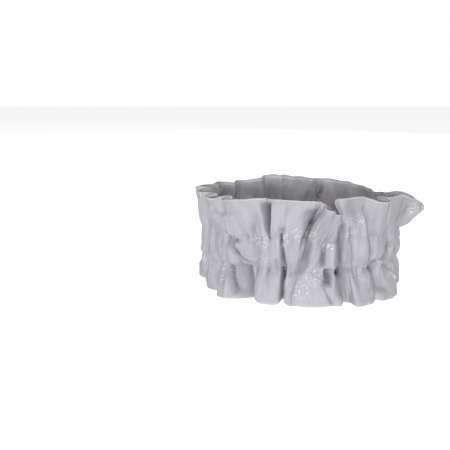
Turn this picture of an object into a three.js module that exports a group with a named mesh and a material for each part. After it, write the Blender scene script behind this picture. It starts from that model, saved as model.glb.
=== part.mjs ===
// A sleeve garter: a doubled band of satin drawn up on a loop of woven elastic.
// Two rows of stitching hold the elastic in a casing and leave a frill above and below it.
// Millimetres, +Z up, the lower frill on z = 0, the side shown in the photo toward -Y.
// Angles are degrees round the loop, 0 at -Y and 90 at +X.
import * as THREE from 'three';

// Driving sizes
const LOOP_WIDTH = 85.4;      // middle of the elastic loop, side to side
const LOOP_DEPTH = 89.4;      // middle of the elastic loop, front to back
const LOWER_ROW = 14.9;       // height of the lower stitch row
const UPPER_ROW = 29.3;       // height of the upper stitch row
const TOP_FRILL = 16.3;       // cloth from the upper stitch row to the top edge
const HEM_FRILL = 16.4;       // cloth from the lower stitch row to the hem
const FRILL_WALL = 1.2;       // doubled satin with air between its layers
const CASING_WALL = 1.0;      // one satin layer with its small creases
const SEAM_GAP = 0.3;         // space between neighbouring parts at a stitch row
const ROW_GATHER = 1.3;       // how far the gathers wave at a stitch row, each way
const ROW_PUFF = 1.5;         // how far the gathers push the stitch rows off the elastic
const FACE_GATHER = 2.5;      // height of the gathers on the outside of the casing
const BACK_GATHER = 1.5;      // height of the gathers on the inside of the casing
const HEM_BELLY = 0.9;        // outward bow of the hem frill, which is longer than its drop
const ELASTIC_WIDTH = 9.5;
const ELASTIC_THICK = 1.2;
const CHANNEL_GAP = 0.3;      // clearance between the elastic and the casing

const EDGE_EASE = 1.15;       // 1 lets a frill flare evenly, more keeps it upright near its stitching
const KNOT_STEPS = 4;         // stations between two knots of a frill's edge
const GATHER_STEPS = 4;       // stations to a gather of the casing
const FRILL_LEVELS = 3;       // strips up a frill
const ELASTIC_STEPS = 72;

// Folds of the top edge. rim, face and furrow are angles: the middle of the crest, its width
// and the furrow after it. from and to are how far both ends of the crest stand out from the
// stitch row, dip the same for the furrow, and rise how much higher the crest sits, all as
// shares of TOP_FRILL. seam is the angle where the crest's cloth is stitched down.
const TOP_FOLDS = [
  { rim: -37, face: 19, from: 0.34, to: 0.12, rise: 0.06, furrow: -20.5, dip: -0.34, seam: -33 },
  { rim: -5, face: 23, from: 0.06, to: 0.08, rise: 0.00, furrow: 9.5, dip: -0.18, seam: -8 },
  { rim: 10.4, face: 11, from: 0.40, to: 0.46, rise: -0.14, furrow: 14, dip: -0.08, seam: 8 },
  { rim: 24, face: 12, from: 0.12, to: 0.20, rise: 0.08, furrow: 35, dip: 0.04, seam: 25 },
  { rim: 42, face: 9, from: 0.20, to: 0.20, rise: -0.02, furrow: 53, dip: -0.08, seam: 43 },
  { rim: 81, face: 3, from: 0.71, to: 0.69, rise: 0.00, furrow: 93, dip: -0.24, seam: 78 },
  { rim: 105, face: 7, from: 0.20, to: 0.24, rise: -0.28, furrow: 116, dip: -0.18, seam: 105 },
  { rim: 127, face: 6, from: 0.32, to: 0.28, rise: -0.18, furrow: 138, dip: -0.12, seam: 127 },
  { rim: 149, face: 8, from: 0.18, to: 0.18, rise: -0.10, furrow: 159, dip: -0.14, seam: 149 },
  { rim: 170, face: 6, from: 0.26, to: 0.34, rise: 0.03, furrow: 181, dip: -0.16, seam: 171 },
  { rim: 192, face: 8, from: 0.22, to: 0.20, rise: 0.10, furrow: 203, dip: -0.10, seam: 192 },
  { rim: 214, face: 6, from: 0.34, to: 0.38, rise: 0.06, furrow: 225, dip: -0.18, seam: 214 },
  { rim: 236, face: 8, from: 0.28, to: 0.22, rise: 0.00, furrow: 247, dip: -0.10, seam: 236 },
  { rim: 258, face: 6, from: 0.34, to: 0.38, rise: 0.03, furrow: 269, dip: -0.16, seam: 258 },
  { rim: 280, face: 8, from: 0.28, to: 0.22, rise: 0.00, furrow: 290, dip: -0.12, seam: 281 },
  { rim: 301, face: 7, from: 0.32, to: 0.36, rise: 0.02, furrow: 311, dip: -0.10, seam: 303 },
];

// Folds of the hem, in the same columns and as shares of HEM_FRILL.
const HEM_FOLDS = [
  { rim: -72, face: 13, from: 0.04, to: -0.04, rise: 0.10, furrow: -58, dip: -0.16, seam: -68 },
  { rim: -48, face: 12, from: 0.24, to: 0.22, rise: 0.00, furrow: -27, dip: -0.12, seam: -46 },
  { rim: -21.5, face: 13, from: 0.05, to: 0.05, rise: 0.00, furrow: -13.4, dip: -0.40, seam: -20 },
  { rim: -1.5, face: 19, from: 0.08, to: 0.28, rise: 0.00, furrow: 13, dip: 0.18, seam: -2 },
  { rim: 18, face: 5, from: 0.32, to: 0.34, rise: 0.00, furrow: 22.5, dip: 0.06, seam: 14 },
  { rim: 30, face: 10, from: 0.42, to: 0.40, rise: 0.00, furrow: 40, dip: 0.28, seam: 28 },
  { rim: 55, face: 18, from: 0.30, to: 0.26, rise: 0.00, furrow: 78, dip: -0.08, seam: 55 },
  { rim: 91, face: 9, from: 0.24, to: 0.24, rise: 0.00, furrow: 102, dip: -0.12, seam: 90 },
  { rim: 113, face: 7, from: 0.26, to: 0.30, rise: 0.02, furrow: 124, dip: -0.16, seam: 113 },
  { rim: 136, face: 9, from: 0.24, to: 0.24, rise: 0.00, furrow: 147, dip: -0.10, seam: 136 },
  { rim: 159, face: 7, from: 0.34, to: 0.30, rise: 0.03, furrow: 170, dip: -0.14, seam: 159 },
  { rim: 182, face: 9, from: 0.20, to: 0.24, rise: 0.00, furrow: 193, dip: -0.12, seam: 182 },
  { rim: 205, face: 7, from: 0.32, to: 0.28, rise: 0.02, furrow: 216, dip: -0.16, seam: 205 },
  { rim: 228, face: 9, from: 0.24, to: 0.28, rise: 0.00, furrow: 239, dip: -0.10, seam: 228 },
  { rim: 252, face: 8, from: 0.30, to: 0.30, rise: 0.02, furrow: 268, dip: -0.12, seam: 252 },
];

// Gathers of the casing on the shown side. upper and lower are the angles of the ridge at
// the two stitch rows, high its height and cleft the depth of the furrow after it,
// both as shares of the gather height. The rest of the loop repeats PLAIN_GATHERS.
const SHOWN_GATHERS = [
  { upper: -66, lower: -66, high: 0.75, cleft: 0.9 },
  { upper: -55.5, lower: -55, high: 0.65, cleft: 1.0 },
  { upper: -43, lower: -42, high: 0.85, cleft: 0.9 },
  { upper: -32, lower: -31, high: 0.80, cleft: 1.0 },
  { upper: -22.5, lower: -23.5, high: 0.90, cleft: 0.3 },
  { upper: -16.5, lower: -17, high: 0.85, cleft: 1.0 },
  { upper: -6.5, lower: -8.5, high: 0.95, cleft: 0.9 },
  { upper: 4, lower: 2, high: 1.00, cleft: 0.5 },
  { upper: 13.5, lower: 14, high: 1.00, cleft: 1.0 },
  { upper: 22, lower: 22.5, high: 0.85, cleft: 0.5 },
  { upper: 31, lower: 30.5, high: 0.90, cleft: 1.0 },
  { upper: 44, lower: 43, high: 0.90, cleft: 0.9 },
  { upper: 59, lower: 58, high: 1.00, cleft: 0.9 },
  { upper: 73, lower: 73, high: 1.15, cleft: 0.8 },
];
const PLAIN_GATHERS = 21;     // gathers between the last and the first row of the table

const radians = THREE.MathUtils.degToRad;
const wrap = (index, count) => (index + count) % count;
const mix = THREE.MathUtils.lerp;

// Distance of the stitch rows from the middle of the loop at one angle.
function loopRadius(angle) {
  const turn = radians(angle);
  return 1 / Math.hypot(Math.sin(turn) / (LOOP_WIDTH / 2), Math.cos(turn) / (LOOP_DEPTH / 2));
}

// Point at an angle, a distance out from the stitch rows and a height.
function loopPoint(angle, out, height) {
  const turn = radians(angle);
  const radius = loopRadius(angle) + out;
  return new THREE.Vector3(radius * Math.sin(turn), -radius * Math.cos(turn), height);
}

// How far the gathered cloth stands out at a stitch row.
function rowOut(wave) {
  return ROW_PUFF + ROW_GATHER * wave;
}

// Value on a closed spline through the knots, which gain `turn` at each round.
function splineValue(values, position, turn = 0) {
  const count = values.length;
  const first = Math.floor(position);
  const share = position - first;
  const at = (index) => values[wrap(index, count)] + turn * Math.floor(index / count);
  const [before, here, next, after] = [-1, 0, 1, 2].map((step) => at(first + step));
  const square = share * share;
  const cube = square * share;
  return 0.5 * (2 * here + (next - before) * share
    + (2 * before - 5 * here + 4 * next - after) * square
    + (3 * here - before - 3 * next + after) * cube);
}

// Every gather of the casing, the plain ones spaced evenly with a small steady irregularity.
function allGathers() {
  const last = SHOWN_GATHERS[SHOWN_GATHERS.length - 1];
  const span = SHOWN_GATHERS[0].upper + 360 - last.upper;
  const plain = [];
  for (let index = 1; index <= PLAIN_GATHERS; index += 1) {
    const angle = last.upper + span * (index + 0.18 * Math.sin(2.4 * index)) / (PLAIN_GATHERS + 1);
    plain.push({
      upper: angle,
      lower: angle + 1.5 * Math.sin(1.7 * index),
      high: 0.82 + 0.16 * Math.sin(3.1 * index),
      cleft: 0.85 + 0.15 * Math.cos(2.1 * index),
    });
  }
  return [...SHOWN_GATHERS, ...plain];
}

// Stations round the casing: the angle at both stitch rows and the wave from -1 to 1.
function casingStations() {
  const gathers = allGathers();
  const knots = [];
  gathers.forEach((gather, index) => {
    const next = gathers[wrap(index + 1, gathers.length)];
    const turn = index + 1 === gathers.length ? 360 : 0;
    knots.push({ upper: gather.upper, lower: gather.lower, wave: 2 * gather.high - 1 });
    knots.push({
      upper: (gather.upper + next.upper + turn) / 2,
      lower: (gather.lower + next.lower + turn) / 2,
      wave: 1 - 2 * gather.cleft,
    });
  });
  const steps = GATHER_STEPS / 2;
  const stations = [];
  for (let index = 0; index < knots.length * steps; index += 1) {
    const position = index / steps;
    const first = Math.floor(position);
    const blend = (1 - Math.cos(Math.PI * (position - first))) / 2;
    const wave = mix(knots[first].wave, knots[wrap(first + 1, knots.length)].wave, blend);
    stations.push({
      upper: splineValue(knots.map((knot) => knot.upper), position, 360),
      lower: splineValue(knots.map((knot) => knot.lower), position, 360),
      wave,
    });
  }
  return stations;
}

// Wave of the gathered cloth at any angle of one stitch row.
function rowWave(stations, row) {
  const angles = stations.map((station) => station[row]);
  return (angle) => {
    const turned = angles[0] + ((((angle - angles[0]) % 360) + 360) % 360);
    let index = angles.findIndex((start, place) => (
      turned >= start && (place + 1 === angles.length || turned < angles[place + 1])));
    index = Math.max(index, 0);
    const next = index + 1 < angles.length ? angles[index + 1] : angles[0] + 360;
    const share = (turned - angles[index]) / (next - angles[index]);
    return mix(stations[index].wave, stations[wrap(index + 1, stations.length)].wave, share);
  };
}

// Unit normals of a closed ring of levels; the listed levels keep theirs horizontal.
function gridNormals(grid, levelLocked) {
  const count = grid.length;
  const levels = grid[0].length;
  return grid.map((column, index) => column.map((point, level) => {
    const along = grid[wrap(index + 1, count)][level].clone()
      .sub(grid[wrap(index - 1, count)][level]);
    const up = column[Math.min(level + 1, levels - 1)].clone().sub(column[Math.max(level - 1, 0)]);
    const normal = levelLocked(level)
      ? new THREE.Vector3(along.y, -along.x, 0)
      : along.cross(up);
    return normal.normalize();
  }));
}

// Closed wall of even thickness round the middle surface, whose levels run upward.
function closedWall(grid, thickness, levelLocked, floor = -Infinity) {
  const normals = gridNormals(grid, levelLocked);
  const levels = grid[0].length;
  const section = grid.map((column, index) => {
    const side = (sign) => column.map((point, level) => {
      const moved = point.clone().addScaledVector(normals[index][level], sign * thickness / 2);
      moved.z = Math.max(moved.z, floor);
      return moved;
    });
    return [...side(1), ...side(-1).reverse()];
  });
  return ringSolid(section, 2 * levels);
}

// Solid swept round the loop from one closed outline to the next.
function ringSolid(sections, size) {
  const positions = sections.flatMap((section) => section.flatMap((point) => point.toArray()));
  const faces = [];
  for (let station = 0; station < sections.length; station += 1) {
    const next = wrap(station + 1, sections.length);
    for (let corner = 0; corner < size; corner += 1) {
      const after = wrap(corner + 1, size);
      const [a, b, c, d] = [station * size + corner, next * size + corner,
        next * size + after, station * size + after];
      faces.push(a, b, c, a, c, d);
    }
  }
  const geometry = new THREE.BufferGeometry();
  geometry.setAttribute('position', new THREE.Float32BufferAttribute(positions, 3));
  geometry.setIndex(faces);
  return geometry;
}

// Knots of a frill's free edge: both ends of every crest, then the furrow after it.
function edgeKnots(folds) {
  const count = folds.length;
  const seamFurrow = (index) => {
    const turn = 360 * Math.floor(index / count);
    const next = 360 * Math.floor((index + 1) / count);
    return (folds[wrap(index, count)].seam + turn + folds[wrap(index + 1, count)].seam + next) / 2;
  };
  return folds.flatMap((fold, index) => {
    const { rim, face, from, to, rise, furrow, dip, seam } = fold;
    const [before, after] = [seamFurrow(index - 1), seamFurrow(index)];
    const middling = (rise + folds[wrap(index + 1, count)].rise) / 2;
    return [
      { rim: rim - face / 2, out: from, rise, seam: (seam + before) / 2 },
      { rim: rim + face / 2, out: to, rise, seam: (seam + after) / 2 },
      { rim: furrow, out: dip, rise: middling, seam: after },
    ];
  });
}

// Middle surface of a frill. Each line of cloth keeps its length from the stitch row to the
// free edge, so cloth that stands far out ends lower.
function frillGrid({ folds, depth, seamHeight, wave, upward, belly }) {
  const knots = edgeKnots(folds);
  const column = (name) => knots.map((knot) => knot[name]);
  const [rims, outs, rises, seams] = ['rim', 'out', 'rise', 'seam'].map(column);
  const grid = [];
  for (let index = 0; index < knots.length * KNOT_STEPS; index += 1) {
    const position = index / KNOT_STEPS;
    const seam = splineValue(seams, position, 360);
    const rim = splineValue(rims, position, 360);
    const out = depth * splineValue(outs, position);
    const rise = depth * splineValue(rises, position);
    const start = rowOut(wave(seam));
    const line = [];
    let height = seamHeight + upward * SEAM_GAP / 2;
    for (let level = 0; level <= FRILL_LEVELS; level += 1) {
      const share = level / FRILL_LEVELS;
      const ease = share ** EDGE_EASE;
      const bow = belly * Math.sin(Math.PI * share);
      const point = loopPoint(mix(seam, rim, ease), mix(start, out + ROW_PUFF, ease) + bow, 0);
      if (level > 0) {
        const last = line[level - 1];
        const travel = Math.hypot(point.x - last.x, point.y - last.y);
        const strip = depth / FRILL_LEVELS;
        height += upward * (Math.sqrt(Math.max(strip ** 2 - travel ** 2, 0)) + rise / FRILL_LEVELS);
      }
      point.z = Math.max(height, 0);
      line.push(point);
    }
    grid.push(line);
  }
  return grid;
}

function makeTopFrill(wave) {
  const grid = frillGrid({
    folds: TOP_FOLDS, depth: TOP_FRILL, seamHeight: UPPER_ROW, wave, upward: 1, belly: 0,
  });
  return closedWall(grid, FRILL_WALL, (level) => level === 0);
}

function makeHemFrill(wave) {
  const grid = frillGrid({
    folds: HEM_FOLDS, depth: HEM_FRILL, seamHeight: LOWER_ROW, wave, upward: -1, belly: HEM_BELLY,
  });
  const levels = FRILL_LEVELS;
  const upwardGrid = grid.map((line) => [...line].reverse());
  return closedWall(upwardGrid, FRILL_WALL, (level) => level === 0 || level === levels, 0);
}

// One wall of the casing. side is 1 for the face and -1 for the back; shares are the heights
// of its levels. At both stitch rows the two walls lie together in the same gathers.
function makeCasingWall(stations, side, gather, shares) {
  const bottom = LOWER_ROW + SEAM_GAP / 2;
  const top = UPPER_ROW - SEAM_GAP / 2;
  const rowOffset = (CASING_WALL + SEAM_GAP) / 2;
  const channel = ELASTIC_THICK / 2 + CHANNEL_GAP + CASING_WALL / 2;
  const rowPoints = (row) => {
    const line = stations.map((station) => loopPoint(station[row], rowOut(station.wave), 0));
    return line.map((point, index) => {
      const next = line[wrap(index + 1, line.length)];
      const last = line[wrap(index - 1, line.length)];
      const across = new THREE.Vector3(next.y - last.y, last.x - next.x, 0).normalize();
      return point.clone().addScaledVector(across, side * rowOffset);
    });
  };
  const [lower, upper] = [rowPoints('lower'), rowPoints('upper')];
  const grid = stations.map((station, index) => shares.map((share) => {
    const angle = mix(station.lower, station.upper, share);
    const puff = Math.min(1, Math.sin(Math.PI * share) / Math.sin(Math.PI * shares[1]));
    const crown = Math.sin(Math.PI * share) ** 0.4;
    const out = side * (channel + gather * crown * (station.wave + 1) / 2);
    const free = loopPoint(angle, out, 0);
    const held = lower[index].clone().lerp(upper[index], share);
    const point = held.lerp(free, puff);
    point.z = mix(bottom, top, share);
    return point;
  }));
  const last = shares.length - 1;
  return closedWall(grid, CASING_WALL, (level) => level === 0 || level === last);
}

// Flat woven elastic, standing on edge in the middle of the casing.
function makeElastic() {
  const middle = (LOWER_ROW + UPPER_ROW) / 2;
  const sections = [];
  for (let index = 0; index < ELASTIC_STEPS; index += 1) {
    const angle = 360 * index / ELASTIC_STEPS;
    const corner = (out, up) => loopPoint(angle, out * ELASTIC_THICK / 2, middle + up * ELASTIC_WIDTH / 2);
    sections.push([corner(1, -1), corner(1, 1), corner(-1, 1), corner(-1, -1)]);
  }
  return ringSolid(sections, 4);
}

function fabric(colour, roughness) {
  return new THREE.MeshStandardMaterial({ color: colour, roughness, metalness: 0 });
}

const stations = casingStations();
const satin = fabric(0xc6c5cc, 0.45);
const knit = fabric(0xf0efec, 0.85);
const parts = {
  upper_ruffle: [makeTopFrill(rowWave(stations, 'upper')), satin],
  lower_ruffle: [makeHemFrill(rowWave(stations, 'lower')), satin],
  casing_face: [makeCasingWall(stations, 1, FACE_GATHER, [0, 0.155, 0.5, 0.845, 1]), satin],
  casing_back: [makeCasingWall(stations, -1, BACK_GATHER, [0, 0.155, 0.845, 1]), satin],
  elastic_band: [makeElastic(), knit],
};

// The whole part stands with the middle of its outer box over the origin.
const bounds = new THREE.Box3();
for (const [geometry] of Object.values(parts)) {
  geometry.computeBoundingBox();
  bounds.union(geometry.boundingBox);
}
const middle = bounds.getCenter(new THREE.Vector3());

const garter = new THREE.Group();
garter.name = 'sleeve_garter';
for (const [name, [geometry, material]] of Object.entries(parts)) {
  geometry.translate(-middle.x, -middle.y, 0);
  const mesh = new THREE.Mesh(geometry, material);
  mesh.name = name;
  garter.add(mesh);
}

export default garter;
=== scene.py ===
"""A ruffled sleeve garter in silver-grey jacquard satin, standing on its lower ruffle.

The garter is one doubled band of cloth, drawn up on a loop of elastic that runs between two
rows of stitching. All lengths here are millimetres until a mesh is written. Angles are degrees
round the loop, 0 toward -Y and 90 toward +X, as in the solids.
"""
import math

import bpy
import numpy as np
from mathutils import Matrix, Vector


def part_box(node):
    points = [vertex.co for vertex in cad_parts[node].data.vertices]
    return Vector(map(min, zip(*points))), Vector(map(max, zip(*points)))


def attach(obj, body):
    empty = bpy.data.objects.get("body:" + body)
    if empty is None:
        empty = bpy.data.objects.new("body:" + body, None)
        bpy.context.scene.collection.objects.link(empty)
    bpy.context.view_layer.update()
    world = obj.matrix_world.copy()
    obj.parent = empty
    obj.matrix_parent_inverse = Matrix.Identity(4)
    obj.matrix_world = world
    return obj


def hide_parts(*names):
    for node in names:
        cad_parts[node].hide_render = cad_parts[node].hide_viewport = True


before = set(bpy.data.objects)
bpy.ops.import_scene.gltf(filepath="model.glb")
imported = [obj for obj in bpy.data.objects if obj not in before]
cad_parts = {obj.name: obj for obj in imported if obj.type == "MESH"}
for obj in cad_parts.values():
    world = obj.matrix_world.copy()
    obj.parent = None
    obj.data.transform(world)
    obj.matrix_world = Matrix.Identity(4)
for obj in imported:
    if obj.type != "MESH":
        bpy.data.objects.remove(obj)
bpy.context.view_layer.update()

MM = 0.001

# The band and its loop
LOOP_WIDTH = 85.4
LOOP_DEPTH = 89.4
LOWER_ROW = 14.9
UPPER_ROW = 29.3
TOP_FRILL = 16.3
HEM_FRILL = 16.4
ROW_GATHER = 1.25
UPPER_PUFF = 2.4
LOWER_PUFF = 1.8
FACE_GATHER = 2.8
BACK_GATHER = 1.5
HEM_BELLY = 0.9
EDGE_OUT = 1.5
TOP_EASE = 0.9
HEM_EASE = 1.15
ELASTIC_THICK = 1.2
CHANNEL_GAP = 0.3
CLOTH_LENGTH = 420.0
CUT_WIDTH = 93.0

# Half the thickness of the doubled cloth: at the stitching, in a ruffle and at its edge. It is
# full FULL_AT from the stitching and grows thinner from THINNER_AT to THINNEST_BEFORE the edge.
STITCHED_HALF = 0.32
LOOSE_HALF = 0.46
RIM_HALF = 0.33
FULL_AT = 3.0
THINNER_AT = 5.0
THINNEST_BEFORE = 1.0
EDGE_ROUNDING = 0.5
# Rows that round the free edge: how far before it they lie, as shares of EDGE_ROUNDING
ROUNDING_ROWS = np.array([1.0, 0.55, 0.25, 0.06, 0.0])

# The casing: the cloth's own room outside the channel, the share of its height in which it
# swells to its full width, and the power of the half wave by which its gathers fade to its rows
CLOTH_ROOM = 1.0
SWELL_SHARE = 0.2
CROWN_POWER = 0.3
# How far the cloth stays from the elastic's middle line and the softness of that limit, half
# the height in which it holds, and the height in which it fades above and below
ELASTIC_CLEAR = 0.9
CLEAR_KNEE = 0.3
CLEAR_HALF = 5.0
CLEAR_FADE = 1.6

# Small relief: the groove at a stitch row and its width, coarse and fine puckers and their
# reach from the row, slow and soft waves of the whole cloth, and how much of all that goes up
# or down where the cloth faces that way
GROOVE_DEPTH, GROOVE_WIDTH = 0.14, 0.7
PUCKER, PUCKER_REACH = 0.24, 4.5
FINE_PUCKER, FINE_REACH = 0.11, 1.7
SLOW_WAVE = 0.24
SOFT_WAVE = 0.18
RELIEF_LEVEL = 0.4

# Resolution of the cloth: columns round the loop, how much closer they stand round the angle
# at the front, the steps in which the cloth is measured, and rows up each part
COLUMNS = 1000
FRONT_CROWDING = 0.9
FRONT_ANGLE = 5.0
MEASURE_STEPS = 24000
MEASURE_OUT = 2.0
TOP_ROWS = 24
FACE_ROWS = 20
HEM_ROWS = 22
BACK_ROWS = 8

# Millimetres round the loop for one degree
DEGREE = math.pi / 180 * (LOOP_WIDTH + LOOP_DEPTH) / 4


def table(columns, rows):
    """Turns rows of numbers into one array for each named column."""
    return {name: np.array(values, float) for name, values in zip(columns.split(), zip(*rows))}


def smooth(share):
    """Smooth step of a share from 0 to 1: three times its square less twice its cube."""
    return share * share * (3.0 - 2.0 * share)


def oval(beside, above, wide, tall, power):
    """Bell on an oval: e to minus a power of the squared distance in units of its half axes."""
    return np.exp(-((beside / wide) ** 2 + (above / tall) ** 2) ** power)


# Folds of the top edge. rim, face and furrow are angles: the middle of the crest, its width
# and the furrow after it. start and end are how far both ends of the crest stand out, and dip
# the same for the furrow; up, over and level are how much higher they sit. All these are
# shares of TOP_FRILL. left and right are the angles where the crest's ends are stitched down.
FOLD_COLUMNS = "rim face start end up over furrow dip level left right"
TOP_FOLDS = table(FOLD_COLUMNS, [
    (-36.2, 21.4, 0.34, 0.08, 0.08, 0.08, -22.6, -0.14, 0.07, -39, -21.8),
    (-9, 21.2, 0.04, 0.05, 0.05, 0.07, 12.8, -0.2, 0.17, -19.2, -4.8),
    (11.3, 8.6, 0.42, 0.4, 0.05, -0.26, 14.4, 0.03, 0.04, -0.9, 15.5),
    (25, 13, 0.11, -0.01, 0.08, 0.08, 34.5, 0.07, 0.03, 20.2, 29),
    (41, 6, 0.24, 0.42, -0.02, -0.02, 50.5, -0.18, -0.01, 37, 45.8),
    (60, 17, 0.18, 0.34, 0, 0, 74, 0.52, -0.05, 55.2, 64.8),
    (80.5, 0.8, 0.84, 0.83, 0.04, 0.04, 92, -0.16, -0.11, 74.2, 85.5),
    (105, 8, 0.1, 0.14, -0.2, -0.21, 116, -0.06, -0.26, 98.5, 110.5),
    (127, 9, -0.06, 0.02, -0.15, -0.13, 138, -0.02, -0.08, 121.5, 132.5),
    (149, 10, 0.08, 0.08, -0.04, -0.03, 159, -0.04, -0.01, 143.5, 154.5),
    (170, 9, 0.1, 0.12, 0.02, 0.03, 180, -0.03, 0.06, 165.5, 176.2),
    (191, 10, 0.12, 0.1, 0.1, 0.09, 202, -0.05, 0.05, 186.8, 197.5),
    (214, 8, 0.2, 0.22, -0.03, -0.03, 225, -0.12, -0.04, 208.5, 219.5),
    (236, 9, 0.2, 0.16, 0, 0, 247, -0.1, 0.01, 230.5, 241.5),
    (258, 7, 0.3, 0.34, 0.03, 0.03, 269, -0.14, 0.01, 252.5, 263.8),
    (280, 8, 0.28, 0.22, 0, 0, 290, -0.12, 0.01, 275.2, 286.5),
    (301, 7, 0.32, 0.36, 0.02, 0.02, 311, -0.1, 0.05, 297.5, 309),
])
HEM_FOLDS = table(FOLD_COLUMNS, [
    (-72, 13, 0.04, -0.04, 0.1, 0.1, -58, -0.16, 0.05, -78, -62.5),
    (-48.5, 11, 0.25, 0.16, 0, 0, -33.2, -0.42, 0, -51.5, -40),
    (-23.1, 16.8, -0.02, 0, 0, 0, -13.7, -0.5, 0, -28, -15.6),
    (-1.6, 22, -0.02, 0.2, 0, 0, 12.5, 0.08, 0, -8, 1.5),
    (16.5, 4, 0.14, 0.18, 0, 0, 25, -0.12, 0, 9.5, 17.1),
    (28, 9, 0.32, 0.36, 0, 0, 37.5, 0.2, 0, 24.4, 34),
    (51, 14, 0.36, 0.34, 0, 0, 78, -0.08, 0, 46, 61.5),
    (91, 9, 0.24, 0.24, 0, 0, 102, -0.12, 0.01, 80.5, 95.8),
    (113, 7, 0.26, 0.3, 0.02, 0.02, 124, -0.16, 0.01, 107.2, 118.8),
    (136, 9, 0.24, 0.24, 0, 0, 147, -0.1, 0.01, 130.2, 141.8),
    (159, 7, 0.34, 0.3, 0.03, 0.03, 170, -0.14, 0.01, 153.2, 164.8),
    (182, 9, 0.2, 0.24, 0, 0, 193, -0.12, 0.01, 176.2, 187.8),
    (205, 7, 0.32, 0.28, 0.02, 0.02, 216, -0.16, 0.01, 199.2, 210.8),
    (228, 9, 0.24, 0.28, 0, 0, 239, -0.1, 0.01, 222.2, 234),
    (252, 8, 0.3, 0.3, 0.02, 0.02, 268, -0.12, 0.06, 246, 262),
])

# Gathers of the casing on the shown side: the angles of the ridge at both stitch rows, its
# height and the depth of the furrow after it, as shares of the gather height.
SHOWN_GATHERS = [
    (-66, -66, 0.75, 0.9),
    (-55.5, -55, 0.65, 1),
    (-43, -42, 0.85, 0.4),
    (-32, -31, 0.8, 1),
    (-22.5, -23.5, 0.9, 0.3),
    (-17.5, -16.5, 0.85, 0.5),
    (-9, -9.6, 0.95, 0.6),
    (6, -1.4, 1, 0.6),
    (13.5, 14, 1, 0.5),
    (22, 22.5, 0.85, 0.5),
    (31, 30.5, 0.9, 1),
    (44, 43, 0.9, 0.5),
    (59, 58, 1, 0.9),
    (73, 73, 1.15, 0.8),
]
PLAIN_GATHERS = 21
RIDGE_POWER = 0.72

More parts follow.
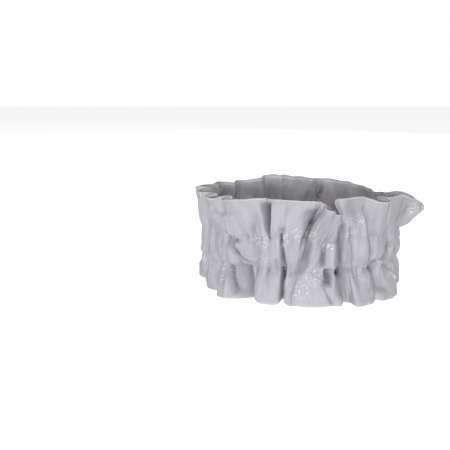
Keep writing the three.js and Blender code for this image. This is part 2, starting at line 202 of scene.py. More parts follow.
# Creases pressed into the outside, each a line through three points, its top, its middle and
# its low end, given by angle and height. After them come the widths in millimetres of its left
# and right walls at its top, the taper that multiplies them at its low end, how deep it is,
# where less than nothing is a ridge or a lip, and the power of its profile: 2 for a bell, more
# for a flat floor between steep walls.
CREASES = [
    (-20.2, 45.4, -19.9, 37, -19.9, 29.5, 4.2, 0.5, 0.12, 6, 3),
    (-26.4, 45, -23.9, 37.3, -21.2, 29.6, 3, 0.5, 0.8, -0.8, 2),
    (-18.9, 46.5, -18.9, 38, -18.9, 30, 0.5, 5, 0.8, -1.2, 2),
    (-49, 38, -45, 31, -38, 26.5, 3, 0.6, 0.7, 2.8, 2),
    (-48, 40, -43.5, 31.8, -36.5, 27, 0.5, 7, 0.4, -3.6, 2),
    (-27.5, 40, -30.5, 32.4, -34.5, 28, 2.4, 2.8, 0.6, 1.3, 2),
    (-38.8, 28, -35.7, 21.4, -27.4, 18, 0.5, 4.5, 0.6, -2.2, 2),
    (-39.7, 28.5, -36.6, 21.4, -28.2, 17.6, 1.9, 0.5, 0.8, 4.9, 2),
    (-48.2, 30, -47.4, 23, -46.5, 16, 1.2, 1, 1, 2.6, 2),
    (-44.5, 28, -43.5, 18, -38, 6, 2.2, 2.6, 1.4, -1.5, 2),
    (-29.2, 28, -29.8, 21.5, -29.1, 16.5, 1.8, 0.8, 1, 1.6, 2),
    (-16.9, 21, -16.5, 18, -16.2, 14.5, 0.7, 0.7, 1, 1.3, 2),
    (-14.3, 33, -13, 24.8, -12, 17.5, 1, 0.6, 0.9, 3.2, 2),
    (-13.4, 33, -12.1, 24.8, -11.1, 17.5, 0.5, 3, 0.9, -0.9, 2),
    (-11.4, 20.5, -12.9, 11.6, -14, -2, 0.8, 0.6, 1.2, 6, 3),
    (-0.2, 30, -2.5, 22, -5.1, 14, 0.5, 1.4, 1.7, 4, 2),
    (-0.3, 29.5, -3, 22, -5.7, 14.5, 2.4, 0.4, 0.9, -1.2, 2),
    (6.2, 43, 2.8, 36.5, -1.3, 28.5, 4.2, 0.6, 0.5, 3.4, 2),
    (3.6, 38.5, 1.2, 33.5, -1.5, 27.2, 2.6, 0.6, 0.7, 2.4, 2),
    (8.2, 45.5, 4.6, 37, 0.3, 29, 0.5, 2.6, 0.7, -1.5, 2),
    (6.8, 41, 7.2, 31.6, 7, 17, 2, 1.5, 1, 1.7, 2),
    (12.5, 30, 12, 20, 12.9, 10.5, 2, 2, 0.8, -1.6, 2),
    (19.2, 38, 18, 28.5, 17.6, 15.5, 3, 0.6, 0.9, 2.9, 2),
    (20.2, 38, 19, 28.5, 18.6, 16.5, 0.5, 2.4, 0.9, -0.9, 2),
    (12.2, 17.4, 11.9, 13, 11.6, 8.4, 2.6, 0.7, 1.1, 4.2, 3),
    (22.8, 36, 23.6, 27, 24.8, 16, 1.6, 1, 1, 1.6, 2),
    (31.4, 42, 33.1, 26, 35.4, 17.5, 6, 0.5, 1, -1.4, 2),
    (32.4, 44, 34, 26, 36.4, 16.8, 0.6, 2.6, 1, 2.2, 2),
    (58.2, 25.5, 50.6, 20.6, 40.6, 16.2, 1.4, 0.6, 1, 2.6, 2),
    (60.2, 25.5, 52.6, 20.2, 42.8, 15.8, 0.5, 3, 1, -0.9, 2),
    (55.2, 33, 54.7, 23.3, 52.6, 16.5, 1.5, 0.8, 1, 1.7, 2),
    (-31, 17.5, -30.4, 10.5, -30, -2, 8, 0.6, 1.1, 6.8, 2),
    (-29.9, 17.5, -29.4, 10.5, -29, -2, 0.5, 7, 1, -1.4, 2),
    (-49.6, 17.5, -46, 10.5, -42.4, 1.5, 0.7, 3.6, 1, 4.4, 2),
    (16.9, 17.5, 17.4, 12.5, 19, 3, 2.4, 1.6, 1.3, 2.4, 2),
    (18.3, 17, 20.3, 9.4, 21.6, -2, 3, 0.6, 1.2, 2.4, 2),
    (19.1, 17, 21.1, 9.4, 22.4, -2, 0.5, 4, 1, -1.4, 2),
    (38.2, 15, 37, 7.5, 36.8, -2, 4, 0.7, 1, -1, 2),
    (40.3, 16.5, 41, 11.5, 43, 3.5, 1.8, 3, 1.5, 3, 2),
    (49.5, 17, 55, 12, 62, 7.5, 1.4, 1.6, 1, 0.9, 2),
    (163, 50, 169.5, 40, 178, 30, 2, 4, 1.2, 3.8, 2),
    (157, 49, 160, 40, 163, 31, 3, 1.8, 1.2, -2.6, 2),
    (146, 48, 149, 39, 150, 30, 3, 2, 1, 2.4, 2),
    (186, 50, 188, 40, 189, 30, 2.4, 3.4, 1, 2.6, 2),
    (199, 50, 197, 40, 197, 30, 3, 1.6, 1, -2, 2),
]
# First and last furrow of the hidden side and their spacing, all angles, and the share of them
# that a crease goes up or down from
HIDDEN_FURROWS = (66, 306, 5.3)
CREASED_SHARE = 0.8

# Small dents, and bumps where the depth is negative: angle and height of the middle, half
# width, half height and depth
DENTS = [
    (-13.8, 33.6, 1.4, 1, 2.2),
    (-15.4, 33, 1.2, 1, -0.8),
    (17.3, 15, 2.2, 2, 5.4),
    (10.8, 14.4, 1.6, 2.4, 1.6),
    (10.6, 17.8, 2.4, 0.8, -0.6),
    (20.3, 17, 2.4, 0.8, -0.9),
    (20.6, 15.7, 2.2, 0.7, 0.9),
    (41.2, 16, 1.9, 1.8, 4),
    (10.5, 27.6, 2.6, 1, -0.6),
    (-29.9, 17.3, 1.5, 1, 0.8),
    (-12.4, 16.6, 1, 1.2, 1.6),
    (26.5, 42, 5.5, 4, 1.3),
    (-35.4, 9.5, 4.4, 6.5, 4),
]
# Where the hem lifts off the table: angle, half width in degrees and height, and how high up
# the cloth a lift is felt
LIFT_REACH = 6.0
HEM_LIFTS = [
    (-13.8, 1.8, 2),
    (-28.6, 1.6, 1.2),
    (21, 2.2, 0.7),
    (38.5, 2.5, 0.9),
]


def closed_spline(values, position, turn=0.0):
    """Catmull-Rom curve through the values, which repeat with `turn` added at each round:
    the cubic through the two near values whose slopes are half the difference of their
    neighbours."""
    count = len(values)
    first = np.floor(position).astype(int)
    share = position - first

    def at(step):
        return values[(first + step) % count] + turn * ((first + step) // count)

    before, here, after, later = at(-1), at(0), at(1), at(2)
    return 0.5 * (
        2 * here
        + (after - before) * share
        + (2 * before - 5 * here + 4 * after - later) * share**2
        + (3 * here - before - 3 * after + later) * share**3
    )


def round_lookup(angle, angles, values, turn=0.0):
    """Value at each angle, read from samples that run once round the loop and then repeat
    with `turn` added."""
    start = angles[0]
    rounds = np.floor((angle - start) / 360.0)
    local = angle - 360.0 * rounds
    closed_angles = np.append(angles, start + 360.0)
    return np.interp(local, closed_angles, np.append(values, values[0] + turn)) + turn * rounds


def edge_samples(folds, steps=60):
    """Free edge of a ruffle as four arrays over fine steps: stitched angle, edge angle, how
    far out and how much higher. Three knots a fold, both crest ends and the furrow, are
    joined by the closed spline."""
    half = folds["face"] / 2

    def knots(*columns):
        return np.stack(columns, axis=1).ravel()

    next_left = np.append(folds["left"][1:], folds["left"][0] + 360.0)
    seam = knots(folds["left"], folds["right"], (folds["right"] + next_left) / 2)
    rim = knots(folds["rim"] - half, folds["rim"] + half, folds["furrow"])
    out = knots(folds["start"], folds["end"], folds["dip"])
    rise = knots(folds["up"], folds["over"], folds["level"])
    position = np.arange(len(seam) * steps) / steps
    return (
        closed_spline(seam, position, 360.0),
        closed_spline(rim, position, 360.0),
        closed_spline(out, position),
        closed_spline(rise, position),
    )


def gather_samples(steps=40):
    """Gathers as three arrays over fine steps: angle at the upper row, angle at the lower row
    and the wave from -1 in a furrow to 1 on a ridge. Ridges are broad and furrows narrow,
    because the cosine between them is raised to a power. The gathers that aren't shown are
    spread over the rest of the loop, with slow sines for their unevenness."""
    last = SHOWN_GATHERS[-1][0]
    span = SHOWN_GATHERS[0][0] + 360 - last
    index = np.arange(1, PLAIN_GATHERS + 1)
    upper = last + span * (index + 0.18 * np.sin(2.4 * index)) / (PLAIN_GATHERS + 1)
    plain = np.stack([
        upper,
        upper + 1.5 * np.sin(1.7 * index),
        0.82 + 0.16 * np.sin(3.1 * index),
        0.85 + 0.15 * np.cos(2.1 * index),
    ], axis=1)
    gathers = np.concatenate([np.array(SHOWN_GATHERS, float), plain])
    following = np.roll(gathers, -1, axis=0)
    following[-1, :2] += 360.0
    knots = np.stack([gathers, (gathers + following) / 2], axis=1).reshape(-1, 4)
    knot_wave = np.stack([2 * gathers[:, 2] - 1, 1 - 2 * gathers[:, 3]], axis=1).ravel()
    position = np.arange(len(knot_wave) * steps) / steps
    first = np.floor(position).astype(int)
    share = position - first
    here, after = knot_wave[first], knot_wave[(first + 1) % len(knot_wave)]
    rising = after > here
    blend = (1 - np.cos(np.pi * share)) / 2
    blend = np.where(rising, blend**RIDGE_POWER, 1 - (1 - blend)**RIDGE_POWER)
    return (
        closed_spline(knots[:, 0], position, 360.0),
        closed_spline(knots[:, 1], position, 360.0),
        here + (after - here) * blend,
    )


def middle_radius(turn):
    """Radius of the elastic's middle line, an ellipse, at a turn in radians."""
    return 1.0 / np.hypot(np.sin(turn) / (LOOP_WIDTH / 2), np.cos(turn) / (LOOP_DEPTH / 2))


def loop_points(angle, out, height):
    """Points at an angle, a distance out from the elastic's middle line, and a height."""
    turn = np.radians(angle)
    radius = out + middle_radius(turn)
    x, y = radius * np.sin(turn), -radius * np.cos(turn)
    return np.stack(np.broadcast_arrays(x, y, height), axis=-1)


def wave_noise(seed, across, along, size_across, size_along, waves=36):
    """Noise of unit spread on the cloth: the mean of cosine waves of random phase, whole
    waves round the band, with lengths spread round the two sizes."""
    rng = np.random.default_rng(seed)
    rounds = np.rint(CLOTH_LENGTH / size_along * rng.uniform(0.55, 1.45, waves))
    slope = rng.normal(0.0, 1.0, waves) / size_across
    phase = rng.uniform(0.0, 2 * np.pi, waves)
    total = 0.0
    for count, lean, start in zip(rounds, slope, phase):
        total = total + np.cos(2 * np.pi * (count * along / CLOTH_LENGTH + lean * across) + start)
    return total * math.sqrt(2.0 / waves)


def surface_normals(grid):
    """Unit normals of a surface on rows by columns that closes round its columns: the cross
    product of the central differences."""
    along = np.roll(grid, -1, axis=1) - np.roll(grid, 1, axis=1)
    across = np.gradient(grid, axis=0)
    normal = np.cross(along, across)
    return normal / np.maximum(np.linalg.norm(normal, axis=2, keepdims=True), 1e-9)


GATHER_UPPER, GATHER_LOWER, GATHER_WAVE = gather_samples()
TOP_EDGE = edge_samples(TOP_FOLDS)
HEM_EDGE = edge_samples(HEM_FOLDS)


def row_wave(angle, row_angles):
    """Wave of the gathered cloth at the angles of one stitch row."""
    return round_lookup(angle, row_angles, GATHER_WAVE)


def cloth_columns(count):
    """Angles at the upper stitch row of the columns of cloth, which stand closer at the front,
    with the length of cloth up to each: the mean of the way along the top edge, the casing and
    the hem."""
    angle = GATHER_UPPER[0] + np.linspace(0.0, 360.0, MEASURE_STEPS + 1)
    lower = round_lookup(angle, GATHER_UPPER, GATHER_LOWER, 360.0)
    wave = row_wave(angle, GATHER_UPPER)
    lines = [loop_points(angle, MEASURE_OUT + FACE_GATHER * (wave + 1) / 2, 0.0)]
    for edge, seam, depth in ((TOP_EDGE, angle, TOP_FRILL), (HEM_EDGE, lower, HEM_FRILL)):
        rim = round_lookup(seam, edge[0], edge[1], 360.0)
        out = depth * round_lookup(seam, edge[0], edge[2])
        lines.append(loop_points(rim, out + MEASURE_OUT, 0.0))
    steps = [np.linalg.norm(np.diff(line, axis=0), axis=1) for line in lines]
    step = np.mean(steps, axis=0)
    travel = np.concatenate([[0.0], np.cumsum(step)])
    crowd = 1.0 + FRONT_CROWDING * np.cos(np.radians((angle[1:] - FRONT_ANGLE) / 2)) ** 4
    crowded = np.concatenate([[0.0], np.cumsum(step * crowd)])
    even = np.linspace(0.0, crowded[-1], count, endpoint=False)
    place = np.interp(even, crowded, travel) / travel[-1] * CLOTH_LENGTH
    return np.interp(even, crowded, angle), place


UPPER_ANGLE, CLOTH_PLACE = cloth_columns(COLUMNS)
LOWER_ANGLE = round_lookup(UPPER_ANGLE, GATHER_UPPER, GATHER_LOWER, 360.0)
WAVE = row_wave(UPPER_ANGLE, GATHER_UPPER)


def frill_middle(edge, row_angle, seam_height, puff, depth, upward, belly, ease_power, shares):
    """Middle surface of a ruffle. Angle and distance out run from the stitch row to the free
    edge with an ease; the height adds up what is left of each short length of cloth after
    its sideways travel, so cloth that stands far out ends lower."""
    rim = round_lookup(row_angle, edge[0], edge[1], 360.0)
    out = depth * round_lookup(row_angle, edge[0], edge[2]) + EDGE_OUT
    rise = depth * round_lookup(row_angle, edge[0], edge[3])
    start = puff + ROW_GATHER * WAVE
    ease = shares[:, None] ** ease_power
    bow = belly * np.sin(np.pi * shares)[:, None]
    angle = row_angle + (rim - row_angle) * ease
    grid = loop_points(angle, start + (out - start) * ease + bow, 0.0)
    strip = depth * np.diff(shares)[:, None]
    travel = np.linalg.norm(np.diff(grid[..., :2], axis=0), axis=2)
    climb = np.sqrt(np.maximum(strip**2 - travel**2, 0.0)) + rise * np.diff(shares)[:, None]
    climbed = np.concatenate([np.zeros((1, climb.shape[1])), np.cumsum(climb, axis=0)])
    if upward < 0:
        room = seam_height - LOOSE_HALF * 0.2
        climbed *= np.minimum(1.0, room / climbed[-1])
    grid[..., 2] = seam_height + upward * climbed
    return grid


def half_thickness(shares, depth):
    """Half the thickness of a ruffle: thin at the stitching, full beyond it, thinner toward
    the free edge and a half circle there."""
    place = shares * depth
    thinner = (place - THINNER_AT) / (depth - THINNER_AT - THINNEST_BEFORE)
    full = STITCHED_HALF + (LOOSE_HALF - STITCHED_HALF) * np.clip(place / FULL_AT, 0.0, 1.0)
    full = full + (RIM_HALF - LOOSE_HALF) * np.clip(thinner, 0.0, 1.0)
    beyond = np.clip((place - (depth - EDGE_ROUNDING)) / EDGE_ROUNDING, 0.0, 1.0)
    return full * np.sqrt(np.maximum(1.0 - beyond**2, 0.0))


def hidden_creases():
    """Creases of the side and the back that the gathers leave: one or two out of each furrow,
    up into the upper ruffle or down into the hem, leaning a little, from a seeded draw. reach
    is the height of their far ends, start of the near ones."""
    rng = np.random.default_rng(21)
    furrow = np.arange(*HIDDEN_FURROWS)
    furrow = furrow + rng.uniform(-1.6, 1.6, len(furrow))
    rows = []
    for angle in furrow:
        lean = rng.normal(0.0, 1.6, 4)
        wide = rng.uniform(0.8, 2.8, 4)
        deep = rng.uniform(0.5, 1.9, 2) * rng.choice([1.0, 1.0, -0.7], 2)
        reach = rng.uniform(34.0, 47.0), rng.uniform(-2.0, 8.0)
        start = rng.uniform(15.0, 24.0), rng.uniform(18.0, 26.0)
        if rng.random() < CREASED_SHARE:
            rows.append((angle + lean[0], reach[0], angle + lean[1] / 2, (reach[0] + start[0]) / 2,
                         angle, start[0], wide[0], wide[1], 0.6, deep[0], 2))
        if rng.random() < CREASED_SHARE:
            rows.append((angle, start[1], angle + lean[2] / 2, (reach[1] + start[1]) / 2,
                         angle + lean[3], reach[1], wide[2], wide[3], 1.5, deep[1], 2))
    return rows


def turn_between(angle, other):
    """Difference of two angles, brought between -180 and 180."""
    return (angle - other + 180.0) % 360.0 - 180.0


def pressed(angle, height):
    """How far creases and dents push the cloth in. A crease is a curve whose angle is the
    parabola in height through its three points, with a wall of its own width at each side,
    fading over a sixth of its length at both ends. A dent is a bell."""
    depth = np.zeros_like(angle)
    for (top_angle, top, mid_angle, mid, low_angle, low,
         left, right, taper, deep, crisp) in CREASES + hidden_creases():
        middle = (
            top_angle * (height - mid) * (height - low) / ((top - mid) * (top - low))
            + mid_angle * (height - top) * (height - low) / ((mid - top) * (mid - low))
            + low_angle * (height - top) * (height - mid) / ((low - top) * (low - mid)))
        share = (height - low) / (top - low)
        fade = np.clip(share * 6.0, 0.0, 1.0) * np.clip((1.0 - share) * 6.0, 0.0, 1.0)
        side = turn_between(angle, middle) * DEGREE
        wide = np.where(side < 0.0, left, right)
        wide = wide * (taper + (1.0 - taper) * np.clip(share, 0.0, 1.0))
        depth += deep * smooth(fade) * np.exp(-np.abs(side / wide) ** crisp)
    for place, level, wide, tall, deep in DENTS:
        side = turn_between(angle, place) * DEGREE
        depth += deep * oval(side, height - level, wide, tall, 1.6)
    return depth


def unevenness(height, across, along):
    """Small relief along the surface's own direction: a narrow groove at both stitch rows,
    puckers that fade away from it, and slow waves of the whole cloth."""
    from_row = np.minimum(np.abs(height - UPPER_ROW), np.abs(height - LOWER_ROW))
    near = np.exp(-(from_row / PUCKER_REACH) ** 2)
    close = np.exp(-(from_row / FINE_REACH) ** 2)
    coarse = wave_noise(11, across, along, 40.0, 5.0)
    fine = wave_noise(12, across, along, 30.0, 2.3)
    slow = wave_noise(13, across, along, 60.0, 26.0)
    soft = wave_noise(14, across, along, 16.0, 11.0)
    patchy = np.clip(0.6 + 0.5 * wave_noise(15, across, along, 200.0, 40.0, 9), 0.1, 1.3)
    return (
        -GROOVE_DEPTH * np.exp(-(from_row / GROOVE_WIDTH) ** 2)
        + PUCKER * near * coarse + FINE_PUCKER * close * fine * patchy
        + SLOW_WAVE * slow + SOFT_WAVE * soft)


def casing_surface(side, gather, shares, lower_row, upper_row):
    """Outer skin of one casing wall, from the lower to the upper stitch row. It leaves both
    rows where they are, swells to clear the elastic and stands out by the gathers."""
    share = shares[:, None]
    channel = ELASTIC_THICK / 2 + CHANNEL_GAP + CLOTH_ROOM
    puff = smooth(np.clip(np.sin(np.pi * share) / math.sin(SWELL_SHARE * math.pi), 0.0, 1.0))
    crown = np.sin(np.pi * share) ** CROWN_POWER
    angle = LOWER_ANGLE + (UPPER_ANGLE - LOWER_ANGLE) * share
    free = loop_points(angle, side * (channel + gather * crown * (WAVE + 1) / 2), 0.0)
    held = lower_row + (upper_row - lower_row) * share[..., None]
    grid = held + (free - held) * puff[..., None]
    grid[..., 2] = held[..., 2]
    return grid


def polar(grid):
    """Angle in degrees round the loop and distance out from the elastic's middle line."""
    turn = np.arctan2(grid[..., 0], -grid[..., 1])
    return np.degrees(turn), np.hypot(grid[..., 0], grid[..., 1]) - middle_radius(turn)


def keep_off_elastic(grid, side):
    """Moves casing points radially to stay clear of the elastic: a distance under the limit
    is pulled back to it with a soft knee."""
    angle, out = polar(grid)
    away = side * out
    soft = ELASTIC_CLEAR + CLEAR_KNEE
    pulled = ELASTIC_CLEAR + CLEAR_KNEE * np.exp(np.minimum(away - soft, 0.0) / CLEAR_KNEE)
    fixed = loop_points(angle, side * np.where(away < soft, pulled, away), 0.0)
    above = np.abs(grid[..., 2] - (UPPER_ROW + LOWER_ROW) / 2)
    share = np.clip(1.0 - (above - CLEAR_HALF) / CLEAR_FADE, 0.0, 1.0)
    moved = grid + (fixed - grid) * share[..., None]
    moved[..., 2] = grid[..., 2]
    return moved


def garter_grid():
    """The whole cloth as one closed tube of rows by columns: down the outside from the top
    edge to the hem, then up the inside, where every other row is enough. Each ruffle is its
    middle surface moved out or in by half its thickness, and the relief moves both of its skins
    together. Returns the points, each row's place across the cut cloth, the rows that are
    stitched and the first row of the inside."""

    def walls(edge, row_angle, height, puff, depth, upward, belly, ease_power, rows):
        last = 1.0 - ROUNDING_ROWS * EDGE_ROUNDING / depth
        shares = np.concatenate([np.linspace(0.0, last[0], rows - 4), last[1:]])
        middle = frill_middle(
            edge, row_angle, height, puff, depth, upward, belly, ease_power, shares)
        normal = surface_normals(middle) * upward
        normal[0, :, 2] = 0.0
        normal[0] /= np.linalg.norm(normal[0], axis=1, keepdims=True)
        half = half_thickness(shares, depth)[:, None, None]
        return shares, middle + normal * half, middle - normal * half

    casing = UPPER_ROW - LOWER_ROW
    top_share, top_out, top_in = walls(
        TOP_EDGE, UPPER_ANGLE, UPPER_ROW, UPPER_PUFF, TOP_FRILL, 1, 0.0, TOP_EASE, TOP_ROWS)
    hem_share, hem_out, hem_in = walls(
        HEM_EDGE, LOWER_ANGLE, LOWER_ROW, LOWER_PUFF, HEM_FRILL, -1, HEM_BELLY, HEM_EASE, HEM_ROWS)
    face_share = np.linspace(0.0, 1.0, FACE_ROWS)
    back_share = np.linspace(0.0, 1.0, BACK_ROWS)
    face = casing_surface(1, FACE_GATHER, face_share, hem_out[0], top_out[0])

    outside = np.concatenate([top_out[::-1], face[-2:0:-1], hem_out])
    outer = np.concatenate([
        TOP_FRILL * (1 - top_share[::-1]),
        TOP_FRILL + casing * (1 - face_share[-2:0:-1]),
        TOP_FRILL + casing + HEM_FRILL * hem_share,
    ])
    normal = -surface_normals(outside)
    normal[..., 2] *= RELIEF_LEVEL
    angle = polar(outside)[0]
    turn = np.radians(angle)
    outward = np.stack([np.sin(turn), -np.cos(turn), np.zeros_like(turn)], axis=-1)
    height = outside[..., 2]
    small = unevenness(height, outer[:, None], CLOTH_PLACE[None, :])
    push = small[..., None] * normal - pressed(angle, height)[..., None] * outward
    outside = outside + push
    first, last = TOP_ROWS, TOP_ROWS + FACE_ROWS - 2
    outside[first:last] = keep_off_elastic(outside[first:last], 1)

    inside_top = (top_in[::-1] + push[:TOP_ROWS])[::-1]
    inside_hem = hem_in + push[last:]
    back = casing_surface(-1, BACK_GATHER, back_share, inside_hem[0], inside_top[0])
    back = keep_off_elastic(back, -1)
    top_rows, hem_rows = (np.r_[0:rows - 4:2, rows - 4:rows - 1] for rows in (TOP_ROWS, HEM_ROWS))
    grid = np.concatenate([
        outside, inside_hem[hem_rows][::-1], back[1:-1], inside_top[top_rows],
    ])
    inner = outer[-1] + np.concatenate([
        HEM_FRILL * (1 - hem_share[hem_rows][::-1]),
        HEM_FRILL + casing * back_share[1:-1],
        HEM_FRILL + casing + TOP_FRILL * top_share[top_rows],
    ])
    low = np.clip(1.0 - grid[..., 2] / LIFT_REACH, 0.0, 1.0) ** 2
    place = polar(grid)[0]
    for middle, wide, height in HEM_LIFTS:
        grid[..., 2] += height * low * np.exp(-(turn_between(place, middle) / wide) ** 2)
    grid[..., 2] = np.maximum(grid[..., 2], 0.0)
    inner_lower = len(outer) + len(hem_rows) - 1
    stitched = first - 1, last, inner_lower, inner_lower + BACK_ROWS - 1
    return grid, np.concatenate([outer, inner]), stitched, len(outer)


def place_object(name, data):
    """New object of some data, at the origin."""
    piece = bpy.data.objects.new(name, data)
    bpy.context.scene.collection.objects.link(piece)
    return piece


def smooth_piece(name, points, faces, title, uv):
    """Smoothly shaded piece with its points in millimetres from the loop's middle, and a UV map
    with one pair of millimetres for each corner, written in metres."""
    mesh = bpy.data.meshes.new(name)
    mesh.from_pydata(((points + LOOP_MIDDLE) * MM).reshape(-1, 3), [], faces)
    mesh.uv_layers.new(name=title).data.foreach_set("uv", (uv * MM).ravel())
    mesh.polygons.foreach_set("use_smooth", np.ones(len(mesh.polygons), bool))
    mesh.update()
    return place_object(name, mesh)


def cloth_piece(name, grid, across, masks):
    """Mesh of the cloth's grid, which closes both ways, with a UV map along the band and across
    it, and each mask as an attribute."""
    rows, columns = grid.shape[:2]
    index = np.arange(rows * columns).reshape(rows, columns)
    down, right = np.roll(index, -1, axis=0), np.roll(index, -1, axis=1)
    corner = np.roll(down, -1, axis=1)
    quads = np.stack([index, down, corner, right], axis=2).reshape(-1, 4)
    along, along_end = CLOTH_PLACE, np.append(CLOTH_PLACE[1:], CLOTH_LENGTH)
    across_end = np.append(across[1:], CUT_WIDTH)
    uv = np.empty((rows, columns, 4, 2))
    uv[..., 0] = np.stack([along, along, along_end, along_end], axis=1)[None]
    uv[..., 1] = np.stack([across, across_end, across_end, across], axis=1)[:, None]
    piece = smooth_piece(name, grid, quads, "Cloth", uv)
    for title, mask in masks.items():
        values = piece.data.attributes.new(title, "FLOAT", "POINT").data
        values.foreach_set("value", mask.astype(np.float32).ravel())
    return piece


elastic_low, elastic_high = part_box("elastic_band")
LOOP_MIDDLE = (np.array(elastic_low) + np.array(elastic_high)) / 2 / MM
LOOP_MIDDLE[2] = 0.0

# Woven figures on the shown side, whose strokes the material lightens as painted glints: angle and
# height, half width and half height, lean in degrees and strength
SHOWN_FIGURES_AND_GLINTS = [
    (-25, 28.5, 3.2, 4, 20, 0.8),
    (-13.5, 29.5, 2.4, 3.6, -10, 1),
    (-5.5, 31.5, 2.6, 3, 25, 0.7),
    (1, 32.5, 1.8, 3.6, 30, 0.9),
    (3.5, 13.6, 3.8, 4.2, 30, 1),
    (-4.5, 7.5, 3.6, 4.4, -20, 0.7),
    (11.5, 27.4, 3.2, 2, 0, 1),
    (25.5, 36, 4.2, 4, 10, 0.9),
    (31, 12.6, 3.8, 4.4, 25, 1),
    (33.5, 2.5, 3.6, 3.2, -15, 0.7),
    (-51, 13.5, 2.6, 4, 20, 1),
    (-51, 6, 3.4, 4.6, 10, 0.9),
    (61.5, 23.5, 1.8, 5, 5, 1),
    (-24.5, 19.5, 3.6, 3, 15, 0.5),
    (6, 27, 3, 3.8, 10, 0.6),
    (-8.5, 13.5, 2.2, 2.8, 0, 0.6),
    (80, 37, 5, 4, -35, 1),
    (22, 30, 2.2, 5, 0, 0.6),
]
# The repeat of figures elsewhere: how many round the band, their spacing across it, their half
# width and half height, and the lean in degrees of the two in turn
FIGURE_REPEATS = 16
FIGURE_DROP = 15.5
FIGURE_WIDE, FIGURE_TALL = 3.4, 4.8
FIGURE_LEANS = (32.0, -28.0)
FIGURE_EDGE = 1.5
# The shown side: its middle angle and how far it reaches to both sides, and the fade there
SHOWN_MIDDLE, SHOWN_HALF, SHOWN_FADE = 14.0, 70.0, 10.0

# Painted shade for narrow, middling and wide folds: reach along the band in columns, and the fold
# depth that gets the darkest painted shade
FOLD_SHADE_REACHES = [(3.5, 1.5), (9, 3), (24, 6)]
# How far from a folded edge the painted fold shade is full, and how much more of it the casing has
FOLD_SHADE_FROM_EDGE = 4.0
CASING_FOLD_SHADE = 0.5


def figure_and_glint_mask(grid, across, outside_rows):
    """Where woven figures are, from 0 to 1: bells on leaning ovals. Round the hidden side and the
    inside they sit in a half-drop repeat on the cloth, every other column half a step lower, and
    on the shown side at their own places. The material lightens their strokes toward white as
    painted glints."""
    def leaning(beside, above, wide, tall, lean):
        turn = np.radians(lean)
        first = beside * np.cos(turn) + above * np.sin(turn)
        return oval(first, above * np.cos(turn) - beside * np.sin(turn), wide, tall, FIGURE_EDGE)

    column = CLOTH_PLACE / CLOTH_LENGTH * FIGURE_REPEATS
    odd = np.floor(column).astype(int) % 2
    beside = (column - np.floor(column) - 0.5)[None, :] * CLOTH_LENGTH / FIGURE_REPEATS
    down = across[:, None] / FIGURE_DROP + 0.5 * odd[None, :]
    level = np.floor(down)
    below = (down - level - 0.5) * FIGURE_DROP
    lean = np.where((level + odd[None, :]) % 2 < 1, *FIGURE_LEANS)
    repeat = leaning(beside, below, FIGURE_WIDE, FIGURE_TALL, lean)

    angle = polar(grid)[0]
    shown = np.zeros_like(angle)
    for place, height, wide, tall, lean, strength in SHOWN_FIGURES_AND_GLINTS:
        side = turn_between(angle, place) * DEGREE
        figure = leaning(side, grid[..., 2] - height, wide, tall, lean)
        shown = np.maximum(shown, strength * figure)
    from_middle = np.abs(turn_between(angle, SHOWN_MIDDLE))
    front = np.clip((SHOWN_HALF - from_middle) / SHOWN_FADE + 0.5, 0.0, 1.0)
    front[outside_rows:] = 0.0
    return front * shown + (1.0 - front) * repeat


def painted_fold_shade_mask(grid, across, outside_rows):
    """How deep each point lies in a fold, from 0 to 1, for the painted shade that darkens the
    folds: its distance from the loop against the same smoothed along the band by a bell, and the
    other way inside. The deepest of the bells counts, more in the shallow casing and none at a
    folded edge."""
    out = polar(grid)[1]
    from_edge = np.abs((across + CUT_WIDTH / 4) % (CUT_WIDTH / 2) - CUT_WIDTH / 4)
    gain = np.clip(from_edge / FOLD_SHADE_FROM_EDGE, 0.0, 1.0)
    casing = np.sin(np.linspace(0.0, np.pi, FACE_ROWS - 2)) ** 2
    gain[TOP_ROWS:TOP_ROWS + FACE_ROWS - 2] += CASING_FOLD_SHADE * casing
    gain[outside_rows:] *= -1.0
    waves = np.fft.rfft(out, axis=1)
    deepest = np.zeros_like(out)
    for reach, depth in FOLD_SHADE_REACHES:
        bell = np.exp(-2 * (np.pi * reach * np.arange(waves.shape[1]) / COLUMNS) ** 2)
        behind = (np.fft.irfft(waves * bell, COLUMNS, axis=1) - out) * gain[:, None]
        deepest = np.maximum(deepest, np.clip(behind / depth, 0.0, 1.0))
    return deepest


grid, across, stitched, outside_rows = garter_grid()
# The cloth with two masks: woven figures, which also carry painted glints, and painted shade in
# the folds.
garter = cloth_piece("garter_cloth", grid, across, {
    "Figure": figure_and_glint_mask(grid, across, outside_rows),
    "PaintedFoldShade": painted_fold_shade_mask(grid, across, outside_rows),
})

# Stitches of the two rows, outside and inside
STITCH_STEP = 2.7
STITCH_LENGTH = 2.15
THREAD_HALF = 0.16
STITCH_RINGS = 6
THREAD_SIDES = 6
# How far a stitch's middle rises from its ends and how deep they lie in the cloth, the share of
# its thickness there, and how much it faces up or down where the cloth does
STITCH_RISE, STITCH_SUNK, STITCH_END = 0.20, 0.14, 0.7
STITCH_LEVEL = 0.3


